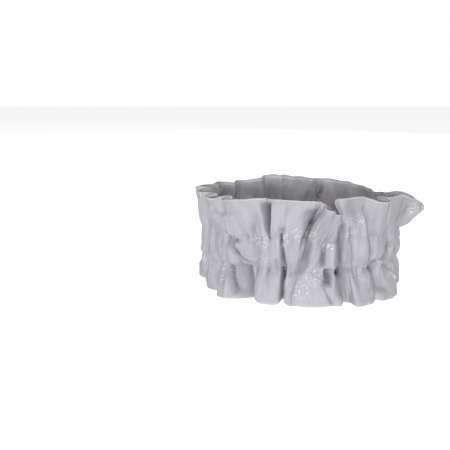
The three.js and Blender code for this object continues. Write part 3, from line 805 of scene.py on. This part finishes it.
def stitched_row(line, normal):
    """Stitches on one closed row of the cloth: short bent tubes, evenly spaced along the line.
    Each rises out of the cloth by a half wave and is thinner where it goes back in. Returns
    the points of every stitch as rings by sides."""
    closed = np.concatenate([line, line[:1]])
    travel = np.concatenate([[0.0], np.cumsum(np.linalg.norm(np.diff(closed, axis=0), axis=1))])
    facing = np.concatenate([normal, normal[:1]])
    count = int(travel[-1] / STITCH_STEP)
    share = np.linspace(0.0, 1.0, STITCH_RINGS)
    start = np.arange(count)[:, None] * travel[-1] / count
    place = (start + share[None, :] * STITCH_LENGTH) % travel[-1]

    def along(values):
        return np.stack([np.interp(place, travel, values[:, axis]) for axis in range(3)], axis=-1)

    middle, outward = along(closed), along(facing)
    outward /= np.linalg.norm(outward, axis=-1, keepdims=True)
    rise = np.sin(np.pi * share)[None, :, None]
    middle = middle + outward * (STITCH_RISE * rise - STITCH_SUNK)
    forward = np.gradient(middle, axis=1)
    forward /= np.linalg.norm(forward, axis=-1, keepdims=True)
    sideways = np.cross(forward, outward)
    sideways /= np.linalg.norm(sideways, axis=-1, keepdims=True)
    turn = np.arange(THREAD_SIDES) * 2 * np.pi / THREAD_SIDES
    radius = (THREAD_HALF * (STITCH_END + (1.0 - STITCH_END) * rise))[..., None, :]
    return (
        middle[:, :, None, :]
        + radius * np.cos(turn)[None, None, :, None] * sideways[:, :, None, :]
        + radius * np.sin(turn)[None, None, :, None] * outward[:, :, None, :])


def stitching_piece(name, rows):
    """One mesh of all stitches, each a tube closed by a face at both ends, with a UV map along
    and round the thread."""
    points = np.concatenate(rows)
    count = len(points)
    start = (np.arange(count) * STITCH_RINGS * THREAD_SIDES)[:, None, None]
    ring, side = np.meshgrid(np.arange(STITCH_RINGS - 1), np.arange(THREAD_SIDES), indexing="ij")
    here = start + ring * THREAD_SIDES + side
    beside = start + ring * THREAD_SIDES + (side + 1) % THREAD_SIDES
    tube = np.stack([here, here + THREAD_SIDES, beside + THREAD_SIDES, beside], axis=-1)
    first = start[:, 0] + np.arange(THREAD_SIDES)
    last = first[:, ::-1] + (STITCH_RINGS - 1) * THREAD_SIDES
    faces = tube.reshape(-1, 4).tolist() + first.tolist() + last.tolist()
    step, girth = STITCH_LENGTH / (STITCH_RINGS - 1), 2 * np.pi * THREAD_HALF / THREAD_SIDES
    u = np.stack([ring, ring + 1, ring + 1, ring], axis=-1) * step
    v = np.stack([side, side, side + 1, side + 1], axis=-1) * girth
    corners = np.tile(np.stack([u, v], axis=-1).reshape(1, -1, 2), (count, 1, 1)).reshape(-1, 2)
    ends = np.zeros((count * 2 * THREAD_SIDES, 2))
    return smooth_piece(name, points, faces, "Thread", np.concatenate([corners, ends]))


facing = -surface_normals(grid)
facing[..., 2] *= STITCH_LEVEL
stitching = stitching_piece(
    "row_stitching", [stitched_row(grid[row], facing[row]) for row in stitched])


def feed(tree, node, inputs):
    """Links each input of a node where the value is another node's output, and sets it where it
    is a number or a colour."""
    for key, value in inputs.items():
        if isinstance(value, bpy.types.NodeSocket):
            tree.links.new(value, node.inputs[key])
        else:
            node.inputs[key].default_value = value


def add_node(tree, kind, inputs=None, **settings):
    """New node in a tree, fed with its inputs. Settings are its properties."""
    node = tree.nodes.new(kind)
    for name, value in settings.items():
        setattr(node, name, value)
    feed(tree, node, inputs or {})
    return node


def maths(tree, operation, first, second=0.0, third=0.0):
    """Output of a Math node."""
    inputs = {0: first, 1: second, 2: third}
    return add_node(tree, "ShaderNodeMath", inputs, operation=operation).outputs[0]


def times(tree, first, second):
    """Product of two values."""
    return maths(tree, "MULTIPLY", first, second)


def plus(tree, first, second):
    """Sum of two values."""
    return maths(tree, "ADD", first, second)


def minus(tree, first, second):
    """First value less the second."""
    return maths(tree, "SUBTRACT", first, second)


def sine_wave(tree, value, length):
    """Sine of a value that repeats every length."""
    return maths(tree, "SINE", maths(tree, "DIVIDE", times(tree, value, 2 * math.pi), length))


def blend_colour(tree, share, first, second, kind="MIX"):
    """Output of a colour Mix node."""
    inputs = {"Factor": share, 6: first, 7: second}
    return add_node(tree, "ShaderNodeMix", inputs, data_type="RGBA", blend_type=kind).outputs[2]


def ramp(tree, value, low, high, start, end):
    """Output of a smooth Map Range from low..high to start..end."""
    inputs = {"Value": value, "From Min": low, "From Max": high, "To Min": start, "To Max": end}
    return add_node(tree, "ShaderNodeMapRange", inputs, interpolation_type="SMOOTHSTEP").outputs[0]


def new_group(name, inputs, outputs):
    """Empty shader group of named numbers on the place in the cloth, a vector in metres.
    Returns the group, that place as X and Y in millimetres, the inputs and the output node."""
    group = bpy.data.node_groups.new(name, "ShaderNodeTree")
    group.interface.new_socket(name="Cloth", in_out="INPUT", socket_type="NodeSocketVector")
    for side, names in (("INPUT", inputs), ("OUTPUT", outputs)):
        for socket in names:
            group.interface.new_socket(name=socket, in_out=side, socket_type="NodeSocketFloat")
    given = group.nodes.new("NodeGroupInput").outputs
    x, y = in_millimetres(group, given["Cloth"])
    return group, x, y, given, group.nodes.new("NodeGroupOutput")


def in_millimetres(tree, vector):
    """A vector in metres as its X and Y in millimetres."""
    inputs = {0: vector, "Scale": 1 / MM}
    scaled = add_node(tree, "ShaderNodeVectorMath", inputs, operation="SCALE").outputs[0]
    split = add_node(tree, "ShaderNodeSeparateXYZ", {0: scaled})
    return split.outputs["X"], split.outputs["Y"]


def noise_on(tree, x, y, across, along, detail=2.0, seed=0.0):
    """Noise on flat coordinates, stretched to its own size along each."""
    place = add_node(tree, "ShaderNodeCombineXYZ", {
        "X": maths(tree, "DIVIDE", x, across), "Y": maths(tree, "DIVIDE", y, along), "Z": seed})
    inputs = {"Vector": place.outputs[0], "Scale": 1.0, "Detail": detail}
    return add_node(tree, "ShaderNodeTexNoise", inputs)


def satin_weave_group():
    """Fine threads that lie across the band: a sine every Thread Gap millimetres along it, and
    long streaks of uneven thread."""
    group, x, y, given, end = new_group(
        "Satin weave", ("Thread Gap", "Streaks"), ("Height", "Tone"))
    wave = sine_wave(group, x, given["Thread Gap"])
    streak = noise_on(group, x, y, 0.55, 7.0).outputs["Fac"]
    broad = noise_on(group, x, y, 1.8, 12.0, seed=5.0).outputs["Fac"]
    both = plus(group, times(group, streak, 0.6), times(group, broad, 0.4))
    centred = times(group, minus(group, both, 0.5), given["Streaks"])
    height = plus(group, times(group, wave, 0.25), times(group, centred, 2.5))
    feed(group, end, {"Height": height, "Tone": plus(group, centred, 1.0)})
    return group


def crumple_group():
    """Handled cloth: soft dents of two sizes, and patches a little lighter or darker."""
    group, x, y, given, end = new_group(
        "Handled cloth", ("Size", "Patches"), ("Height", "Tone"))
    size = given["Size"]
    dents = noise_on(group, x, y, size, times(group, size, 1.7), 3.0, 2.0).outputs["Fac"]
    wide, tall = times(group, size, 3.0), times(group, size, 3.5)
    patches = noise_on(group, x, y, wide, tall, 2.0, 9.0).outputs["Fac"]
    tone = times(group, minus(group, patches, 0.5), given["Patches"])
    feed(group, end, {"Height": dents, "Tone": plus(group, tone, 1.0)})
    return group


def figure_group():
    """Jacquard figures: wavering strokes of raised glossy thread inside the mask, with a broken
    outline round each figure. The material lightens these strokes toward white as painted glints."""
    group, x, y, given, end = new_group(
        "Jacquard figure", ("Mask", "Stroke Gap", "Waver"), ("Strokes", "Height"))
    bend = noise_on(group, x, y, 3.6, 4.6, 2.0, 3.0).outputs["Color"]
    bend = add_node(group, "ShaderNodeSeparateColor", {0: bend})
    waver = given["Waver"]
    sway = times(group, minus(group, bend.outputs[0], 0.5), waver)
    swing = times(group, minus(group, bend.outputs[1], 0.5), waver)
    slant = plus(group, times(group, plus(group, x, sway), 0.80),
                  times(group, plus(group, y, swing), 0.60))
    wave = sine_wave(group, slant, given["Stroke Gap"])
    strokes = ramp(group, wave, 0.25, 0.85, 0.0, 1.0)
    broken = noise_on(group, x, y, 0.9, 2.6, 1.0, 7.0).outputs["Fac"]
    inside = ramp(group, given["Mask"], 0.18, 0.55, 0.0, 1.0)
    strokes = times(group, strokes, ramp(group, broken, 0.40, 0.56, 0.0, 1.0))
    strokes = times(group, strokes, inside)
    from_edge = maths(group, "ABSOLUTE", minus(group, given["Mask"], 0.34))
    line = ramp(group, from_edge, 0.03, 0.12, 1.0, 0.0)
    outline = times(group, line, ramp(group, broken, 0.50, 0.62, 0.0, 0.5))
    both = maths(group, "MAXIMUM", strokes, outline)
    feed(group, end, {"Strokes": both, "Height": plus(group, both, times(group, inside, 0.4))})
    return group


SATIN_WEAVE = satin_weave_group()
HANDLED_CLOTH = crumple_group()
JACQUARD_FIGURE = figure_group()


def new_material(name):
    """Material with nodes. Returns it, its tree and its Principled shader."""
    material = bpy.data.materials.new(name)
    material.use_nodes = True
    return material, material.node_tree, material.node_tree.nodes["Principled BSDF"]


def bumped(tree, height, distance, normal=None):
    """Normal bent by a height; distance is the height of 1 in metres."""
    inputs = {"Height": height, "Distance": distance, "Strength": 1.0}
    if normal is not None:
        inputs["Normal"] = normal
    return add_node(tree, "ShaderNodeBump", inputs).outputs["Normal"]


# Colours of the satin: its ground, the painted shade of a deep fold, the painted highlight along a
# folded edge, and the thread of a figure, lightened as painted glints. In millimetres: how far
# from the top edge and from the hem the painted edge highlight is whole and ends, and the height
# of the handled cloth, the weave and the figures.
SATIN_GREY = (0.536, 0.533, 0.582, 1)
FOLD_SHADE_TINT = (0.42, 0.37, 0.37, 1)
EDGE_HIGHLIGHT_GREY = (0.78, 0.75, 0.76, 1)
FIGURE_GLINT_GREY = (0.91, 0.91, 0.94, 1)
WHITE = (1, 1, 1, 1)
EDGE_HIGHLIGHT_TOP = 0.25, 0.75
EDGE_HIGHLIGHT_HEM = 0.2, 0.7
HANDLED_BUMP = 0.30
WEAVE_BUMP = 0.11
FIGURE_BUMP = 0.10


def satin_material():
    """Silver-grey jacquard satin: fine thread, handled cloth, figures in glossy thread whose
    strokes are lightened toward white as painted glints, a paler line along the folded edges as a
    painted highlight, and painted shade darkening the deep folds."""
    material, tree, shader = new_material("jacquard_satin")
    cloth = add_node(tree, "ShaderNodeUVMap", uv_map="Cloth").outputs["UV"]
    mask = add_node(tree, "ShaderNodeAttribute", attribute_name="Figure").outputs["Fac"]
    weave, handled, figure = (
        add_node(tree, "ShaderNodeGroup", {"Cloth": cloth, **inputs}, node_tree=group).outputs
        for group, inputs in (
            (SATIN_WEAVE, {"Thread Gap": 0.42, "Streaks": 0.5}),
            (HANDLED_CLOTH, {"Size": 2.4, "Patches": 0.20}),
            (JACQUARD_FIGURE, {"Mask": mask, "Stroke Gap": 1.25, "Waver": 7.0})))

    across = add_node(tree, "ShaderNodeSeparateXYZ", {0: cloth}).outputs["Y"]
    # Painted highlight: a paler line along the top edge and along the fold at the hem.
    hem = CUT_WIDTH / 2
    folded = maths(tree, "PINGPONG", across, hem * MM)
    near, far = EDGE_HIGHLIGHT_TOP
    from_top = ramp(tree, folded, near * MM, far * MM, 1.0, 0.0)
    near, far = EDGE_HIGHLIGHT_HEM
    from_hem = ramp(tree, folded, (hem - far) * MM, (hem - near) * MM, 0.0, 0.6)
    edge_highlight = maths(tree, "MAXIMUM", from_top, from_hem)

    # Painted shade: the cloth darkened and tinted brown where it lies deep in a fold.
    fold_shade = add_node(tree, "ShaderNodeAttribute", attribute_name="PaintedFoldShade").outputs["Fac"]
    painted_fold_shade = blend_colour(tree, ramp(tree, fold_shade, 0.0, 1.0, 0.0, 1.0), WHITE, FOLD_SHADE_TINT)
    tone = times(tree, weave["Tone"], handled["Tone"])
    ground = blend_colour(tree, 1.0, SATIN_GREY, tone, "MULTIPLY")
    ground = blend_colour(tree, 1.0, ground, painted_fold_shade, "MULTIPLY")
    ground = blend_colour(tree, times(tree, edge_highlight, 0.7), ground, EDGE_HIGHLIGHT_GREY)
    # Painted glints: the figures' strokes lightened toward near white.
    strokes = figure["Strokes"]
    colour = blend_colour(tree, times(tree, strokes, 0.90), ground, FIGURE_GLINT_GREY)
    uneven = times(tree, minus(tree, handled["Height"], 0.5), 0.12)
    rough = minus(tree, plus(tree, 0.46, uneven), times(tree, strokes, 0.18))
    normal = None
    for group, height in ((handled, HANDLED_BUMP), (weave, WEAVE_BUMP), (figure, FIGURE_BUMP)):
        normal = bumped(tree, group["Height"], height * MM, normal)
    feed(tree, shader, {
        "Base Color": colour, "Roughness": rough, "Normal": normal,
        "Anisotropic": 0.35, "Sheen Weight": 0.12, "Sheen Roughness": 0.45})
    return material


def plain_finish(tree, shader, colour, tone, height, depth, rough):
    """Finish of a thread: its colour darkened by a tone, which the thread and the elastic give as
    painted shade in their grooves, a bump so deep and a roughness.
    """
    feed(tree, shader, {
        "Base Color": blend_colour(tree, 1.0, colour, tone, "MULTIPLY"), "Roughness": rough,
        "Normal": bumped(tree, height, depth * MM)})


def thread_material():
    """Grey sewing thread of three twisted plies."""
    material, tree, shader = new_material("sewing_thread")
    thread = add_node(tree, "ShaderNodeUVMap", uv_map="Thread").outputs["UV"]
    x, y = in_millimetres(tree, thread)
    twist = sine_wave(tree, plus(tree, x, times(tree, y, 0.9)), 0.34)
    # Painted shade: the thread darker in the grooves of its twist, where the bump is low.
    tone = ramp(tree, twist, -1.0, 0.4, 0.72, 1.0)
    plain_finish(tree, shader, (0.60, 0.59, 0.62, 1), tone, twist, 0.02, 0.42)
    return material


def elastic_material():
    """White woven elastic: ribs that run round the loop and fine weft across them."""
    material, tree, shader = new_material("woven_elastic")
    place = add_node(tree, "ShaderNodeTexCoord").outputs["Object"]
    split = add_node(tree, "ShaderNodeSeparateXYZ", {0: place})
    turn = maths(tree, "ARCTAN2", split.outputs["X"], split.outputs["Y"])
    rib = sine_wave(tree, split.outputs["Z"], 1.18 * MM)
    weft = maths(tree, "SINE", times(tree, turn, 380.0))
    # Painted shade: the elastic darker between its ribs and in its weft, where the bump is low.
    tone = ramp(tree, plus(tree, rib, times(tree, weft, 0.5)), -1.5, 1.0, 0.78, 1.0)
    height = plus(tree, rib, times(tree, weft, 0.4))
    plain_finish(tree, shader, (0.86, 0.86, 0.84, 1), tone, height, 0.12, 0.7)
    return material


garter.data.materials.append(satin_material())
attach(garter, "root")
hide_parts("upper_ruffle", "lower_ruffle", "casing_face", "casing_back")

stitching.data.materials.append(thread_material())
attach(stitching, "root")

WOVEN_ELASTIC = elastic_material()
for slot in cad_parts["elastic_band"].material_slots:
    slot.material = WOVEN_ELASTIC


# Lamps: name, place, aim, width, height, power and colour
LAMPS = [
    ("key", (-0.20, -1.18, 0.085), (0, 0, 0.045), 0.28, 0.11, 6.75, (0.98, 0.99, 1.0)),
    ("side", (-1.1, -0.35, 0.32), (0.02, 0, 0.03), 0.3, 0.2, 2.0, (1.0, 0.98, 0.95)),
    ("right fill", (0.9, -0.8, 0.2), (0, 0, 0.03), 0.4, 0.2, 1.6, (1.0, 1.0, 1.0)),
    ("rear fill", (0.7, 0.9, 0.16), (0, 0, 0.03), 0.8, 0.25, 7.0, (1.0, 1.0, 1.0)),
    ("overhead", (-0.05, -0.45, 1.0), (0, 0, 0.02), 0.5, 0.5, 3.2, (1.0, 0.97, 0.94)),
]
# The floor's half width in metres, its own glow and how much more of it the camera sees, and
# the colour and strength of the light from the surround
FLOOR_REACH = 3.0
FLOOR_GLOW = 0.22
FLOOR_SEEN = 0.63
SURROUND_COLOUR = (1.0, 0.92, 0.86, 1)
SURROUND_LIGHT = 0.06

# Camera: focal length and frame width in pixels, the sensor's width, where it stands from the
# loop's middle in millimetres and how many degrees it looks down
FOCAL_PIXELS = 850.0
FRAME_PIXELS = 450.0
SENSOR_WIDTH = 36.0
CAMERA_PLACE = (-35.6, -403.0, 95.6)
CAMERA_DOWN = 9.55


def area_light(name, place, aim, width, height, power, colour):
    """Soft rectangular light at a place, turned to face the aim."""
    light = bpy.data.lights.new(name, "AREA")
    light.shape = "RECTANGLE"
    light.size, light.size_y = width, height
    light.energy = power
    light.color = colour
    holder = place_object(name, light)
    holder.location = place
    holder.rotation_euler = (Vector(aim) - Vector(place)).to_track_quat("-Z", "Y").to_euler()


def stage():
    """Pale floor, a white surround that gives little light, and soft lamps: a low one in front,
    one at each side, one behind and one overhead."""
    corners = [(-1, -1, 0), (1, -1, 0), (1, 1, 0), (-1, 1, 0)]
    mesh = bpy.data.meshes.new("floor")
    mesh.from_pydata(np.array(corners) * FLOOR_REACH, [], [(0, 1, 2, 3)])
    paint, tree, shader = new_material("pale_floor")
    camera_ray = add_node(tree, "ShaderNodeLightPath").outputs["Is Camera Ray"]
    feed(tree, shader, {
        "Base Color": (0.93, 0.93, 0.93, 1), "Roughness": 0.9, "Specular IOR Level": 0.1,
        "Emission Color": WHITE,
        "Emission Strength": maths(tree, "MULTIPLY_ADD", camera_ray, FLOOR_SEEN, FLOOR_GLOW)})
    mesh.materials.append(paint)
    floor = place_object("floor", mesh)

    world = bpy.data.worlds.new("studio")
    world.use_nodes = True
    tree = world.node_tree
    light = tree.nodes["Background"]
    feed(tree, light, {"Color": SURROUND_COLOUR, "Strength": SURROUND_LIGHT})
    seen = add_node(tree, "ShaderNodeBackground", {"Color": WHITE, "Strength": 1.0})
    camera_ray = add_node(tree, "ShaderNodeLightPath").outputs["Is Camera Ray"]
    inputs = {"Fac": camera_ray, 1: light.outputs["Background"], 2: seen.outputs["Background"]}
    either = add_node(tree, "ShaderNodeMixShader", inputs).outputs["Shader"]
    feed(tree, tree.nodes["World Output"], {"Surface": either})
    bpy.context.scene.world = world

    for lamp in LAMPS:
        area_light(*lamp)


def camera():
    """Camera at the photo's angle: low, a little left of the garter, looking slightly down."""
    data = bpy.data.cameras.new("camera")
    data.lens = SENSOR_WIDTH * FOCAL_PIXELS / FRAME_PIXELS
    data.sensor_width = SENSOR_WIDTH
    data.clip_start = 0.01
    holder = place_object("camera", data)
    holder.location = (LOOP_MIDDLE + np.array(CAMERA_PLACE)) * MM
    holder.rotation_euler = (math.radians(90 - CAMERA_DOWN), 0, 0)
    bpy.context.scene.camera = holder


stage()
camera()
bpy.context.scene.view_settings.view_transform = "Standard"
